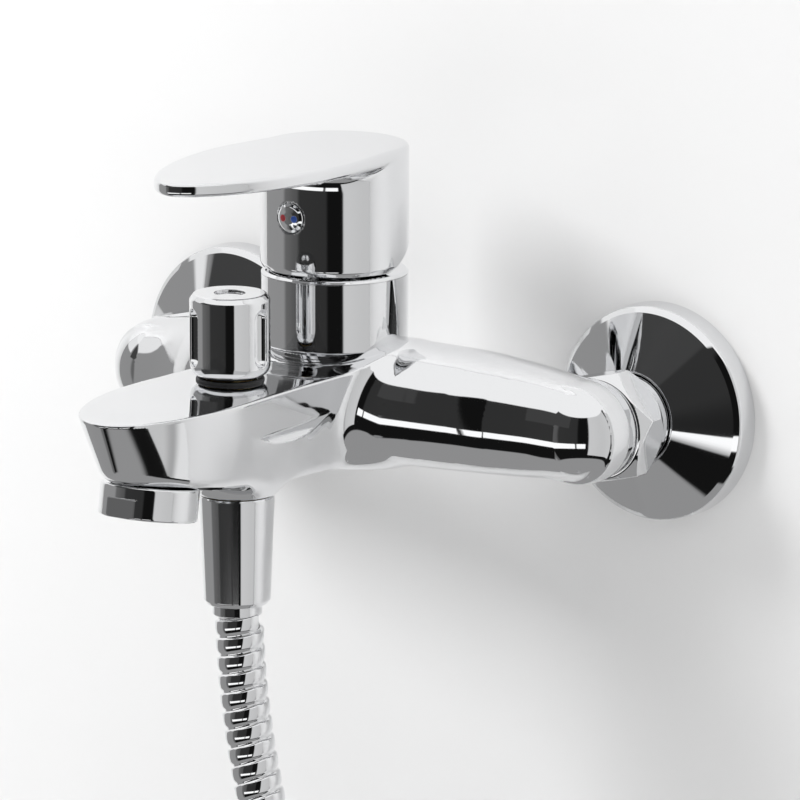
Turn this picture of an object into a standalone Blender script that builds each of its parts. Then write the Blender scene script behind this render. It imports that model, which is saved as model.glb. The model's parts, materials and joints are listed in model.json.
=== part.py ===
"""Wall-mounted single-lever bath mixer with a pull-up diverter and a shower hose.

Metres, +Z up. The wall is the plane Y = 0 and the front of the mixer faces -Y.
The origin is on the wall, midway between the two inlets. Lengths below are in millimetres
and become metres where a mesh is made.
"""

import math

import bmesh
import bpy
from mathutils import Matrix, Vector

MM = 0.001
GAP = 0.3

# Inlets: spacing of the two unions, and the plane where the casting meets the union nuts
INLET_X = 75.0
INLET_FACE_Y = -34.0

# Tower that holds the mixing cartridge
TOWER_Y = -57.0
TOWER_R = 21.1
TOWER_TOP_Z = 40.7
GROOVE_Z = (17.4, 20.0)
GROOVE_R = 19.7
SEAT_Z = 15.5
BORE_R = 17.9
THREAD_R = 18.9
SHOULDER_Z = 35.0

# Spout: level top face, sloping underside, rounded nose
SPOUT_TOP_Z = 17.0
SPOUT_DROOP = 1.6
SPOUT_TIP_Y = -167.4
SPOUT_HALF_WIDTHS = [(-167.4, 0.0), (-164.5, 7.9), (-160.0, 12.7), (-150.0, 17.6), (-140.0, 19.8),
                     (-128.0, 21.1), (-115.0, 21.3), (-100.0, 20.9), (-80.0, 20.6), (-57.0, 20.6)]
UNDERSIDE_Z = -13.0
UNDERSIDE_FRONT = (-143.4, -6.1)
UNDERSIDE_SLOPE = -0.18

# Aerator, on an axis tilted forward
AERATOR_AXIS_POINT = (0.0, -143.4, -6.4)
AERATOR_TILT = math.radians(9.5)
AERATOR_R = 13.9
AERATOR_LENGTH = 8.7
AERATOR_SOCKET_R = 12.0

# Diverter and shower outlet, on two vertical axes close to each other
KNOB_Y = -106.5
OUTLET_Y = -103.7
KNOB_R = 11.4
KNOB_Z = (18.7, 42.6)
OUTLET_R = 10.5
OUTLET_Z = -15.4

# Lever handle
HANDLE_R = 21.3
HANDLE_BOTTOM_Z = 42.7
HANDLE_TOP_Z = 78.0
HANDLE_EDGE = 3.8
LEVER_TIP_Y = -135.0
LEVER_HALF_WIDTHS = [(-135.0, 0.0), (-133.6, 4.5), (-130.0, 8.9), (-120.0, 15.0), (-110.0, 18.8),
                     (-100.0, 21.3), (-90.0, 23.0), (-80.0, 23.7), (-70.0, 23.2), (-57.0, 21.3)]
PIVOT_Z = 38.0
PLUG_Z = 59.4
PLUG_R = 4.3

# Arms: centre line and radius from the tower outwards, then a domed end
ARM_STATIONS = [((0.0, -57.0, 5.0), 17.6), ((25.0, -55.2, 5.4), 18.0), ((45.0, -48.3, 3.8), 17.4),
                ((60.0, -42.0, 1.9), 16.2), ((68.0, -40.6, 1.2), 15.2), ((74.5, -40.2, 0.8), 14.6)]
ARM_NECK_R = 13.6
SPOT_FACE_R = 19.5
WATER_WAY_R = 7.0
INLET_BORE_R = 8.5

# Unions and escutcheons
UNION_THREAD_R = 13.2
PIPE_THREAD_R = 10.2
UNION_OFFSET = 4.0
ESCUTCHEON_R = 31.6
ESCUTCHEON_LIP = 8.0
ESCUTCHEON_DEPTH = 16.5
NUT_FLATS = 30.0
NUT_TURN = math.radians(13.0)
NUT_Y = (-33.6, -22.0)

# Hose: (x, z) points of the lead that hangs from the nut in the plane of the outlet, then a coil
HOSE_D = 14.0
HOSE_LEAD = [(0.6, -49.3), (0.9, -57.3), (1.5, -65.3), (2.3, -73.2), (3.5, -81.1), (4.9, -89.1),
             (6.6, -96.9), (8.5, -104.6), (10.7, -112.3), (13.6, -120.9), (16.8, -129.3), (20.6, -137.4),
             (25.0, -145.3), (30.0, -152.8), (35.8, -159.7), (37.7, -161.7)]
COIL_R = 70.0
COIL_PITCH = 14.3
COIL_TURNS = 3.125
COIL_TAIL_SHIFT = 16.0
COIL_TAIL_TURNS = 0.35

CHROME = ("chrome", (0.80, 0.81, 0.83), 1.0, 0.06)
BRASS = ("brass", (0.72, 0.56, 0.28), 1.0, 0.3)
STEEL = ("steel", (0.6, 0.6, 0.62), 1.0, 0.25)
WHITE_PLASTIC = ("white_plastic", (0.85, 0.85, 0.83), 0.0, 0.4)
GREY_PLASTIC = ("grey_plastic", (0.35, 0.36, 0.38), 0.0, 0.45)
CERAMIC = ("ceramic", (0.92, 0.91, 0.88), 0.0, 0.15)
RUBBER = ("black_rubber", (0.02, 0.02, 0.02), 0.0, 0.6)
HOSE = ("hose", (0.75, 0.76, 0.78), 1.0, 0.15)
TIE = ("tie", (0.9, 0.9, 0.9), 0.0, 0.5)


def clear_scene():
    for thing in list(bpy.data.objects):
        bpy.data.objects.remove(thing, do_unlink=True)


def material(look):
    name, colour, metallic, roughness = look
    found = bpy.data.materials.get(name)
    if found:
        return found
    made = bpy.data.materials.new(name)
    made.use_nodes = True
    shader = made.node_tree.nodes["Principled BSDF"]
    shader.inputs["Base Color"].default_value = (*colour, 1.0)
    shader.inputs["Metallic"].default_value = metallic
    shader.inputs["Roughness"].default_value = roughness
    return made


def finish_mesh(name, mesh_bm, look, centre=(0, 0, 0)):
    """Makes the object from a bmesh in millimetres about centre, which becomes its origin."""
    bmesh.ops.recalc_face_normals(mesh_bm, faces=mesh_bm.faces)
    bmesh.ops.scale(mesh_bm, vec=(MM, MM, MM), verts=mesh_bm.verts)
    mesh = bpy.data.meshes.new(name)
    mesh_bm.to_mesh(mesh)
    mesh_bm.free()
    mesh.shade_smooth()
    mesh.set_sharp_from_angle(angle=math.radians(35))
    made = bpy.data.objects.new(name, mesh)
    made.location = Vector(centre) * MM
    mesh.materials.append(material(look))
    bpy.context.scene.collection.objects.link(made)
    return made


def turned(name, profile, look, centre=(0, 0, 0), direction=(0, 0, 1), segments=24):
    """Solid of revolution. profile is a closed loop of (radius, height) along direction."""
    bm = bmesh.new()
    rings = []
    for radius, height in profile:
        if radius < 1e-6:
            rings.append([bm.verts.new((0, 0, height))])
            continue
        ring = []
        for i in range(segments):
            angle = 2 * math.pi * i / segments
            ring.append(bm.verts.new((radius * math.cos(angle), radius * math.sin(angle), height)))
        rings.append(ring)
    for low, high in zip(rings, rings[1:] + rings[:1]):
        if len(low) == 1 and len(high) == 1:
            continue
        for i in range(segments):
            j = (i + 1) % segments
            corners = [low[i % len(low)], low[j % len(low)], high[j % len(high)], high[i % len(high)]]
            bm.faces.new(list(dict.fromkeys(corners)))
    turn = Vector((0, 0, 1)).rotation_difference(Vector(direction)).to_matrix().to_4x4()
    bmesh.ops.transform(bm, matrix=turn, verts=bm.verts)
    return finish_mesh(name, bm, look, centre)


def lofted(name, rings, look, centre=(0, 0, 0)):
    """Skin through rings of the same number of points, closed by flat ends."""
    bm = bmesh.new()
    loops = [[bm.verts.new(Vector(p) - Vector(centre)) for p in ring] for ring in rings]
    for low, high in zip(loops, loops[1:]):
        for i in range(len(low)):
            j = (i + 1) % len(low)
            bm.faces.new([low[i], low[j], high[j], high[i]])
    ends = [bm.faces.new(loops[0][::-1]), bm.faces.new(loops[-1])]
    bmesh.ops.triangulate(bm, faces=ends)
    return finish_mesh(name, bm, look, centre)


def tube(name, stations, look, sides=24, centre=(0, 0, 0)):
    """Round bar through stations of (point, radius), square to its own line."""
    points = [Vector(p) for p, _ in stations]
    rings = []
    side = None
    upright = abs((points[-1] - points[0]).normalized().z) > 0.9
    first = Vector((1, 0, 0)) if upright else Vector((0, 0, 1))
    for i, (_, radius) in enumerate(stations):
        ahead = points[min(i + 1, len(points) - 1)]
        behind = points[max(i - 1, 0)]
        along = (ahead - behind).normalized()
        start = side if side is not None else first
        side = (start - along * start.dot(along)).normalized()
        other = along.cross(side)
        ring = []
        for k in range(sides):
            angle = 2 * math.pi * k / sides
            ring.append(points[i] + radius * (side * math.cos(angle) + other * math.sin(angle)))
        rings.append(ring)
    return lofted(name, rings, look, centre)


def prism(name, outline, low, high, look, centre=(0, 0, 0)):
    """Outline of (x, y) points raised from low to high."""
    return lofted(name, [[(x, y, low) for x, y in outline], [(x, y, high) for x, y in outline]],
                  look, centre)


def rod(name, start, end, radius, look, sides=20):
    return tube(name, [(start, radius), (end, radius)], look, sides)


def torus(name, ring_r, wire_r, look, centre, segments=16, sides=6):
    profile = []
    for k in range(sides):
        angle = 2 * math.pi * k / sides
        profile.append((ring_r + wire_r * math.cos(angle), wire_r * math.sin(angle)))
    return turned(name, profile, look, centre, segments=segments)


def combine(target, tools, operation):
    """Cuts tools out of target, or joins them to it, and keeps them as guides."""
    for tool in tools:
        step = target.modifiers.new(operation.lower() + "_" + tool.name, "BOOLEAN")
        step.operation = operation
        step.object = tool
        step.solver = "EXACT"
        tool.hide_render = True
        tool.display_type = "WIRE"


def eased(table, y):
    """Value at y from (y, value) pairs, straight between the squares so that a nose stays round."""
    for (y0, v0), (y1, v1) in zip(table, table[1:]):
        if y <= y1:
            share = max(0.0, (y - y0) / (y1 - y0))
            return math.sqrt(v0 * v0 + share * (v1 * v1 - v0 * v0))
    return table[-1][1]


def teardrop(widths, back_y, back_r, inset=0.0, nose_inset=0.0, steps=11, back_steps=8):
    """Closed outline: a rounded nose towards -Y and a half circle of back_r behind back_y."""
    tip = widths[0][0] + nose_inset
    right = []
    for i in range(steps + 1):
        y = tip + (back_y - tip) * (i / steps) ** 1.7
        source = widths[0][0] + (y - tip) * (back_y - widths[0][0]) / (back_y - tip)
        right.append((max(0.0, eased(widths, source) - inset * min(1.0, i / 3)), y))
    left = [(-x, y) for x, y in right[1:]]
    radius = right[-1][0]
    back = []
    for i in range(1, back_steps):
        angle = math.pi * i / back_steps
        back.append((radius * math.cos(angle), back_y + (back_r - inset) * math.sin(angle)))
    return right + back + left[::-1]


def underside(y):
    """Height of the casting's underside."""
    front_y, front_z = UNDERSIDE_FRONT
    return max(front_z + UNDERSIDE_SLOPE * (y - front_y), UNDERSIDE_Z)


def spout_top(y):
    """Height of the spout's top face, which droops a little towards the nose."""
    share = min(1.0, max(0.0, (-110.0 - y) / (-110.0 - SPOUT_TIP_Y)))
    return SPOUT_TOP_Z - SPOUT_DROOP * share * share


def spout_hull():
    rings = []
    levels = [(0.0, 0.9), (0.05, 0.0), (0.3, 0.7), (0.55, 2.3), (0.8, 4.9), (0.95, 7.0), (1.0, 8.4)]
    for depth, inset in levels:
        ring = []
        for x, y in teardrop(SPOUT_HALF_WIDTHS, TOWER_Y, TOWER_R - 0.5, inset, inset * 1.25):
            top = spout_top(y)
            ring.append((x, y, top + depth * (underside(y) - top)))
        rings.append(ring)
    return lofted("hull_guide", rings, CHROME)


def arm_guide(side, name):
    stations = list(ARM_STATIONS)
    (x, y, z), radius = stations[-1]
    for degrees in (25, 50, 70, 84):
        angle = math.radians(degrees)
        stations.append(((x + radius * math.sin(angle), y, z), radius * math.cos(angle)))
    return tube(name, [((side * x, y, z), radius) for (x, y, z), radius in stations], CHROME, 20)


def water_way(side, name):
    inner = [((side * 9.0, -56.4, 4.6), WATER_WAY_R)]
    for (x, y, z), _ in ARM_STATIONS[1:4]:
        inner.append(((side * x, y, z), WATER_WAY_R))
    inner.append(((side * (INLET_X - 2.0), -40.4, 0.3), WATER_WAY_R))
    return tube(name, inner, BRASS, 14)


def inlet_cut(side, name):
    """Spot face that the union nut sits against, with the opening in its middle."""
    bore = INLET_BORE_R
    cut = [(0, -47.5), (bore, -47.5), (bore, INLET_FACE_Y), (SPOT_FACE_R, INLET_FACE_Y),
           (SPOT_FACE_R, -18.0), (0, -18.0)]
    return turned(name, cut, BRASS, (side * INLET_X, 0, 0), (0, 1, 0), 22)


def along_y(name, x, y0, y1, radius, look, sides=24):
    return rod(name, (x, y0, 0), (x, y1, 0), radius, look, sides)


def on_aerator(distance):
    """Point on the aerator's axis, distance below the underside of the spout."""
    x, y, z = AERATOR_AXIS_POINT
    return (x, y - distance * math.sin(AERATOR_TILT), z - distance * math.cos(AERATOR_TILT))


def aerator_direction():
    return (0.0, -math.sin(AERATOR_TILT), -math.cos(AERATOR_TILT))


def body_casting():
    low, high = GROOVE_Z
    chamfer = 1.0
    tower = [(0, UNDERSIDE_Z), (9.0, UNDERSIDE_Z), (16.0, UNDERSIDE_Z + 2.6), (19.6, UNDERSIDE_Z + 7.5),
             (TOWER_R - 0.4, 0.0), (TOWER_R - 0.4, low), (GROOVE_R, low + 0.4), (GROOVE_R, high - 0.4),
             (TOWER_R - chamfer, high), (TOWER_R, high + chamfer), (TOWER_R, TOWER_TOP_Z),
             (0, TOWER_TOP_Z)]
    body = turned("body_casting", tower, CHROME, (0, TOWER_Y, 0), segments=32)
    outlet = [(0, 2.0), (17.0, 2.0), (16.0, -6.0), (13.4, -11.0), (11.4, -13.6), (OUTLET_R, OUTLET_Z),
              (0, OUTLET_Z)]
    joins = [spout_hull(),
             arm_guide(1, "right_arm_guide"),
             arm_guide(-1, "left_arm_guide"),
             along_y("right_neck", INLET_X, -42.0, INLET_FACE_Y + 1, ARM_NECK_R, CHROME),
             along_y("left_neck", -INLET_X, -42.0, INLET_FACE_Y + 1, ARM_NECK_R, CHROME),
             turned("outlet_guide", outlet, CHROME, (0, OUTLET_Y, 0))]
    combine(body, joins, "UNION")

    cartridge = [(0, SEAT_Z), (BORE_R, SEAT_Z), (BORE_R, SHOULDER_Z), (THREAD_R, SHOULDER_Z + 0.2),
                 (THREAD_R, TOWER_TOP_Z + 2), (0, TOWER_TOP_Z + 2)]
    diverter = [(0, -9.7), (8.2, -9.7), (8.2, 2.6), (4.7, 2.6), (4.7, 4.6), (8.0, 4.6), (8.0, 20.0),
                (0, 20.0)]
    outlet = [(0, -20.0), (8.6, -20.0), (8.6, -11.0), (4.6, -11.0), (4.6, -8.0), (0, -8.0)]
    cuts = [rod("aerator_socket", on_aerator(-9.6), on_aerator(6.0), AERATOR_SOCKET_R, BRASS, 28),
            rod("mixed_water_way", (0, -64.5, 2.6), (0, KNOB_Y + 2, -3.4), 4.2, BRASS, 12),
            rod("spout_water_way", (0, KNOB_Y - 3, 7.6), (0, -140.0, 0.0), 2.7, BRASS, 12),
            turned("cartridge_bore", cartridge, BRASS, (0, TOWER_Y, 0)),
            turned("diverter_bore", diverter, BRASS, (0, KNOB_Y, 0), segments=16),
            turned("outlet_bore", outlet, BRASS, (0, OUTLET_Y, 0), segments=16),
            water_way(1, "right_water_way"),
            water_way(-1, "left_water_way"),
            inlet_cut(1, "right_inlet"),
            inlet_cut(-1, "left_inlet"),
            rod("right_riser", (10.5, -54.5, 6.0), (10.5, -54.5, SEAT_Z + 1), 3.2, BRASS, 12),
            rod("left_riser", (-10.5, -54.5, 6.0), (-10.5, -54.5, SEAT_Z + 1), 3.2, BRASS, 12),
            rod("mixed_riser", (0, -67.5, 2.0), (0, -67.5, SEAT_Z + 1), 3.8, BRASS, 12)]
    combine(body, cuts, "DIFFERENCE")


def cartridge():
    """Ceramic mixing cartridge: seals, base, two discs, carrier, lever and casing."""
    at = (0, TOWER_Y, 0)
    base = [(0, SEAT_Z + 0.6), (17.5, SEAT_Z + 0.6), (17.5, 19.8), (0, 19.8)]
    base = turned("cartridge_base", base, WHITE_PLASTIC, at)
    ports = {"seal_hot": (-10.5, 2.5), "seal_cold": (10.5, 2.5), "seal_outlet": (0, -10.5)}
    cuts = []
    for name, (x, y) in ports.items():
        spot = (x, TOWER_Y + y)
        cuts.append(rod(name + "_port", (*spot, SEAT_Z - 1), (*spot, 22.0), 2.9, BRASS, 12))
        cuts.append(rod(name + "_pocket", (*spot, SEAT_Z - 1), (*spot, SEAT_Z + 2.1), 5.6, BRASS, 12))
        torus(name, 4.2, 0.75, RUBBER, (*spot, SEAT_Z + 1.05))
    combine(base, cuts, "DIFFERENCE")

    fixed = turned("ceramic_disc_fixed", [(0, 20.1), (15.6, 20.1), (15.6, 23.4), (0, 23.4)], CERAMIC, at)
    slots = []
    for name, (x, y) in ports.items():
        spot = (x * 0.9, TOWER_Y + y * 0.9)
        slots.append(rod(name + "_disc_port", (*spot, 19.0), (*spot, 25.0), 3.0, BRASS, 12))
    combine(fixed, slots, "DIFFERENCE")

    moving_at = (0, TOWER_Y + 2.2, 0)
    moving = [(0, 25.0), (8.6, 25.0), (8.6, 23.7), (12.6, 23.7), (12.6, 27.0), (5.0, 27.0), (5.0, 26.0),
              (0, 26.0)]
    turned("ceramic_disc_moving", moving, CERAMIC, moving_at)

    casing = [(17.5, 20.1), (17.5, 34.7), (15.0, 34.7), (15.0, 41.0), (12.9, 41.0), (12.9, 33.4),
              (16.3, 33.4), (16.3, 20.1)]
    turned("cartridge_casing", casing, WHITE_PLASTIC, at)

    carrier = [(0, 27.3), (15.9, 27.3), (15.9, 33.0), (12.5, 33.0), (12.5, 42.0), (0, 42.0)]
    carrier = turned("cartridge_carrier", carrier, GREY_PLASTIC, at)
    slot = [(-4.6, TOWER_Y - 7.6), (4.6, TOWER_Y - 7.6), (4.6, TOWER_Y + 7.6), (-4.6, TOWER_Y + 7.6)]
    combine(carrier, [prism("carrier_slot", slot, 26.0, 44.0, BRASS),
                      rod("carrier_pin_hole", (-20, TOWER_Y, PIVOT_Z), (20, TOWER_Y, PIVOT_Z), 1.8,
                          BRASS, 12)], "DIFFERENCE")
    rod("lever_pin", (-11.8, TOWER_Y, PIVOT_Z), (11.8, TOWER_Y, PIVOT_Z), 1.5, STEEL, 12)

    half = 3.9
    rings = []
    for height, size in ((26.7, 2.0), (29.2, 2.6), (32.0, 2.6), (34.5, half), (60.0, half)):
        rings.append([(-size, TOWER_Y - size, height), (size, TOWER_Y - size, height),
                      (size, TOWER_Y + size, height), (-size, TOWER_Y + size, height)])
    spindle = lofted("cartridge_lever", rings, STEEL, (0, TOWER_Y, PIVOT_Z))
    combine(spindle, [rod("lever_pin_hole", (-9, TOWER_Y, PIVOT_Z), (9, TOWER_Y, PIVOT_Z), 1.8, BRASS,
                          12)], "DIFFERENCE")

    nut = [(18.6, SHOULDER_Z + 0.3), (18.6, 39.6), (17.6, 40.5), (15.3, 40.5), (15.3, SHOULDER_Z + 0.3)]
    nut = turned("cartridge_nut", nut, BRASS, at)
    notches = []
    for k in range(4):
        spin = Matrix.Rotation(math.pi / 4 + k * math.pi / 2, 3, "Z")
        corners = [spin @ Vector(c) for c in ((14.5, -2, 0), (19.5, -2, 0), (19.5, 2, 0), (14.5, 2, 0))]
        outline = [(c.x, c.y + TOWER_Y) for c in corners]
        notches.append(prism(f"nut_notch_{k + 1}", outline, 38.9, 42.0, BRASS))
    combine(nut, notches, "DIFFERENCE")

    cover = [(19.8, 40.95), (TOWER_R, 40.95), (TOWER_R, 41.2), (TOWER_R - 0.6, 41.8), (18.2, 42.3),
             (15.4, 42.6), (15.4, 41.3), (18.0, 40.95)]
    turned("cover_ring", cover, CHROME, at, segments=32)


def lever_handle():
    """Handle with its paddle, hollow skirt, hub, grub screw and colour indicator."""
    origin = Vector((0, TOWER_Y, PIVOT_Z))
    outline = teardrop(LEVER_HALF_WIDTHS, TOWER_Y, HANDLE_R, steps=13, back_steps=10)
    inner = teardrop(LEVER_HALF_WIDTHS, TOWER_Y, HANDLE_R, 0.8, 0.8, steps=13, back_steps=10)
    slim = teardrop(LEVER_HALF_WIDTHS, TOWER_Y, HANDLE_R, 1.6, 1.6, steps=13, back_steps=10)
    top = HANDLE_TOP_Z
    low = HANDLE_TOP_Z - HANDLE_EDGE
    rings = [[(x, y, low) for x, y in slim], [(x, y, low + 1.3) for x, y in outline],
             [(x, y, top - 0.7) for x, y in outline], [(x, y, top) for x, y in inner]]
    handle = lofted("handle", rings, CHROME, origin)
    bottom = HANDLE_BOTTOM_Z
    skirt = [(18.8, bottom), (HANDLE_R - 0.8, bottom), (HANDLE_R, bottom + 1.5), (HANDLE_R, 69.0),
             (HANDLE_R + 2.0, 73.2), (HANDLE_R + 2.0, low + 0.5), (0, low + 0.5), (0, 69.5), (16.8, 69.5),
             (18.8, 67.5)]
    hub = [(0, 47.0), (7.8, 47.0), (7.8, low), (0, low)]
    boss = rod("screw_boss_guide", (0, TOWER_Y - 3, PLUG_Z), (0, TOWER_Y - 20.2, PLUG_Z), 6.4, CHROME, 16)
    combine(handle, [turned("skirt_guide", skirt, CHROME, (0, TOWER_Y, 0), segments=32),
                     turned("hub_guide", hub, CHROME, (0, TOWER_Y, 0), segments=16), boss], "UNION")
    size = 4.2
    socket = [(-size, TOWER_Y - size), (size, TOWER_Y - size), (size, TOWER_Y + size),
              (-size, TOWER_Y + size)]
    relief_profile = [(0.0, bottom - 2), (0.0, bottom + 0.7), (26.0, bottom + 0.7 + 26 * 0.5),
                      (26.0, bottom - 2)]
    relief = lofted("rear_relief", [[(x, TOWER_Y + y, z) for y, z in relief_profile]
                                    for x in (-30.0, 30.0)], BRASS)
    keep_inside = [prism("lever_socket", socket, 45.0, 60.4, BRASS),
                   relief,
                   rod("screw_hole", (0, TOWER_Y, PLUG_Z), (0, TOWER_Y - 30, PLUG_Z), 2.8, BRASS, 12),
                   rod("indicator_hole", (0, TOWER_Y - 18.4, PLUG_Z), (0, TOWER_Y - 30, PLUG_Z),
                       PLUG_R + GAP, BRASS, 24)]
    combine(handle, keep_inside, "DIFFERENCE")

    plug = [(0, 18.8), (PLUG_R, 18.8), (PLUG_R, 21.0), (3.4, 21.7), (1.8, 22.1), (0, 22.2)]
    turned("temperature_indicator", plug, CHROME, (0, TOWER_Y, PLUG_Z), (0, -1, 0), 24)
    screw = [(0, 4.4), (2.4, 4.4), (2.4, 12.0), (1.4, 12.0), (1.4, 10.0), (0, 10.0)]
    turned("handle_grub_screw", screw, STEEL, (0, TOWER_Y, PLUG_Z), (0, -1, 0), 12)


def diverter():
    """Pull-up knob, stem and double-sided valve with its spring, gland and seals."""
    at = (0, KNOB_Y, 0)
    low, high = KNOB_Z
    knob = [(8.7, low), (9.8, low + 0.8), (10.8, low + 2.1), (KNOB_R, low + 4.1), (KNOB_R, high - 1.6),
            (KNOB_R - 1.2, high), (4.3, high), (2.4, high - 0.7), (0, high - 0.9), (0, 39.4),
            (3.2, 39.4), (3.2, 31.0), (8.3, 31.0), (8.3, low)]
    knob = turned("diverter_knob", knob, CHROME, at, segments=24)
    flutes = []
    for k in range(3):
        angle = math.radians(k * 120)
        spot = Vector((12.1 * math.cos(angle), KNOB_Y + 12.1 * math.sin(angle), 0))
        flutes.append(tube(f"flute_{k + 1}", [(spot + Vector((0, 0, 22.4)), 1.2),
                                              (spot + Vector((0, 0, 24.0)), 2.8),
                                              (spot + Vector((0, 0, 37.0)), 2.8),
                                              (spot + Vector((0, 0, 38.6)), 1.2)], BRASS, 10))
    combine(knob, flutes, "DIFFERENCE")

    stem = [(0, -9.4), (2.2, -9.4), (2.2, -7.8), (6.6, -7.8), (6.6, -5.6), (2.6, -5.6), (2.6, 12.4),
            (1.9, 12.4), (1.9, 14.0), (2.6, 14.0), (2.6, 32.0), (2.9, 32.0), (2.9, 39.0), (0, 39.0)]
    turned("diverter_stem", stem, BRASS, at, segments=16)
    torus("stem_o_ring", 2.85, 0.6, RUBBER, (0, KNOB_Y, 13.2))
    upper = [(4.9, -5.3), (6.5, -5.3), (6.5, -4.2), (4.9, -4.2)]
    turned("diverter_seal_upper", upper, RUBBER, at, segments=16)
    lower = [(2.5, -9.3), (6.5, -9.3), (6.5, -8.1), (2.5, -8.1)]
    turned("diverter_seal_lower", lower, RUBBER, at, segments=16)

    gland = [(3.7, 10.6), (7.7, 10.6), (7.7, 17.4), (7.6, 22.0), (3.7, 22.0)]
    turned("diverter_gland", gland, BRASS, at, segments=16)
    torus("diverter_o_ring", 8.95, 0.7, RUBBER, (0, KNOB_Y, SPOUT_TOP_Z + 0.85), 24, 8)

    turns = 6
    start, end = -4.8, 10.0
    path = []
    steps = turns * 9
    for i in range(steps + 1):
        angle = 2 * math.pi * i / 9
        height = start + (end - start) * i / steps
        path.append(((3.8 * math.cos(angle), KNOB_Y + 3.8 * math.sin(angle), height), 0.42))
    tube("diverter_spring", path, STEEL, 5)


def aerator():
    at = AERATOR_AXIS_POINT
    down = aerator_direction()
    shell = [(11.7, -8.0), (11.7, 0.3), (AERATOR_R, 0.3), (AERATOR_R, AERATOR_LENGTH - 0.6),
             (AERATOR_R - 0.6, AERATOR_LENGTH), (10.6, AERATOR_LENGTH), (10.6, -8.0)]
    shell = turned("aerator_housing", shell, CHROME, at, down, 28)
    flats = []
    for side in (-1, 1):
        ring = []
        for distance in (3.6, 10.0):
            near = Vector(on_aerator(distance))
            across = Vector((0.0, math.cos(AERATOR_TILT), -math.sin(AERATOR_TILT)))
            ring.append([near + Vector((side * x, 0, 0)) + across * y
                         for x, y in ((13.1, -9), (17, -9), (17, 9), (13.1, 9))])
        flats.append(lofted(f"spanner_flat_{side + 2}", ring, BRASS))
    combine(shell, flats, "DIFFERENCE")

    insert = [(0, -6.4), (10.2, -6.4), (10.2, 7.4), (8.8, 7.4), (8.8, 6.4), (0, 6.4)]
    turned("aerator_insert", insert, GREY_PLASTIC, at, down, 16)
    gasket = [(8.2, -9.3), (11.4, -9.3), (11.4, -8.3), (8.2, -8.3)]
    turned("aerator_gasket", gasket, RUBBER, at, down, 16)


def union(side, name):
    """Nipple, captive nut, washer, eccentric union and escutcheon of one inlet."""
    x = side * INLET_X
    at = (x, 0, 0)
    out = (0, 1, 0)
    back, front = NUT_Y[1], NUT_Y[0]
    body = [(9.8, front), (12.7, front), (14.6, front + 1.2), (17.4, front + 3.4), (17.4, back - 1.0),
            (15.2, back), (UNION_THREAD_R + GAP, back), (UNION_THREAD_R + GAP, front + 2.6),
            (9.8, front + 2.6)]
    nut = turned(name + "_union_nut", body, CHROME, at, out, 24)
    reach = NUT_FLATS / math.sqrt(3)
    rings = []
    for y in (front - 2.0, back + 2.0):
        turns = [NUT_TURN + k * math.pi / 3 for k in range(6)]
        rings.append([(x + reach * math.cos(t), y, reach * math.sin(t)) for t in turns])
    combine(nut, [lofted(name + "_hexagon", rings, BRASS)], "INTERSECT")

    nipple = [(6.6, -44.0), (8.1, -44.0), (8.1, -33.7), (9.4, -33.7), (9.4, -30.6), (12.4, -30.6),
              (12.4, -29.4), (6.6, -29.4)]
    turned(name + "_inlet_nipple", nipple, BRASS, at, out, 16)
    washer = [(7.0, -29.1), (12.6, -29.1), (12.6, -27.3), (7.0, -27.3)]
    turned(name + "_union_washer", washer, RUBBER, at, out, 16)

    drop = side * UNION_OFFSET
    outer = [((x, -27.0, 0), UNION_THREAD_R), ((x, -10.0, 0), UNION_THREAD_R),
             ((x + drop * 0.15, -6.5, 0), 12.4), ((x + drop * 0.8, -1.5, 0), 10.8),
             ((x + drop, 1.0, 0), PIPE_THREAD_R), ((x + drop, 16.0, 0), PIPE_THREAD_R)]
    way = [((x, -28.0, 0), 8.8), ((x, -10.0, 0), 8.6), ((x + drop * 0.15, -6.5, 0), 8.2),
           ((x + drop * 0.8, -1.5, 0), 7.6), ((x + drop, 1.0, 0), 7.4), ((x + drop, 17.0, 0), 7.4)]
    eccentric = tube(name + "_eccentric_union", outer, BRASS, 20)
    combine(eccentric, [tube(name + "_union_way", way, BRASS, 16)], "DIFFERENCE")

    lip = ESCUTCHEON_LIP
    deep = ESCUTCHEON_DEPTH
    rim = ESCUTCHEON_R
    bell = [(rim - 1.2, 0.0), (rim, 0.0), (rim - 0.5, -lip + 1.3), (rim - 0.9, -lip + 0.4),
            (rim - 1.8, -lip), (14.3, -deep), (13.6, -deep), (13.6, -deep + 2.2), (rim - 2.2, -lip + 1.6),
            (rim - 1.7, -lip + 2.2)]
    turned(name + "_escutcheon", bell, CHROME, at, out, 28)


def hose_fittings():
    """Shower outlet nipple and the conical nut, washer and ferrule of the hose."""
    at = (0, OUTLET_Y, 0)
    nipple = [(4.8, -24.0), (9.6, -24.0), (9.6, -15.9), (8.3, -15.6), (8.3, -11.3), (4.8, -11.3)]
    turned("shower_outlet_nipple", nipple, BRASS, at, segments=24)
    cone_nut("hose_nut", "hose_ferrule", "hose_washer", at, (0, 0, -1), -OUTLET_Z)


def cone_nut(nut_name, ferrule_name, washer_name, centre, direction, start):
    """Conical hose nut from start along direction, with its ferrule and washer inside."""
    profile = [(9.9, start + GAP), (10.5, start + GAP), (10.7, start + 0.7), (9.5, start + 30.6),
               (8.7, start + 31.8), (7.3, start + 32.0), (7.3, start + 15.0), (9.9, start + 15.0)]
    turned(nut_name, profile, CHROME, centre, direction, 24)
    washer = [(5.4, start + 9.0), (9.5, start + 9.0), (9.5, start + 10.6), (5.4, start + 10.6)]
    turned(washer_name, washer, RUBBER, centre, direction, 16)
    ferrule = [(4.2, start + 10.9), (9.3, start + 10.9), (9.3, start + 14.6), (6.9, start + 14.6),
               (6.9, start + 33.5), (4.2, start + 33.5)]
    turned(ferrule_name, ferrule, BRASS, centre, direction, 16)


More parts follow.
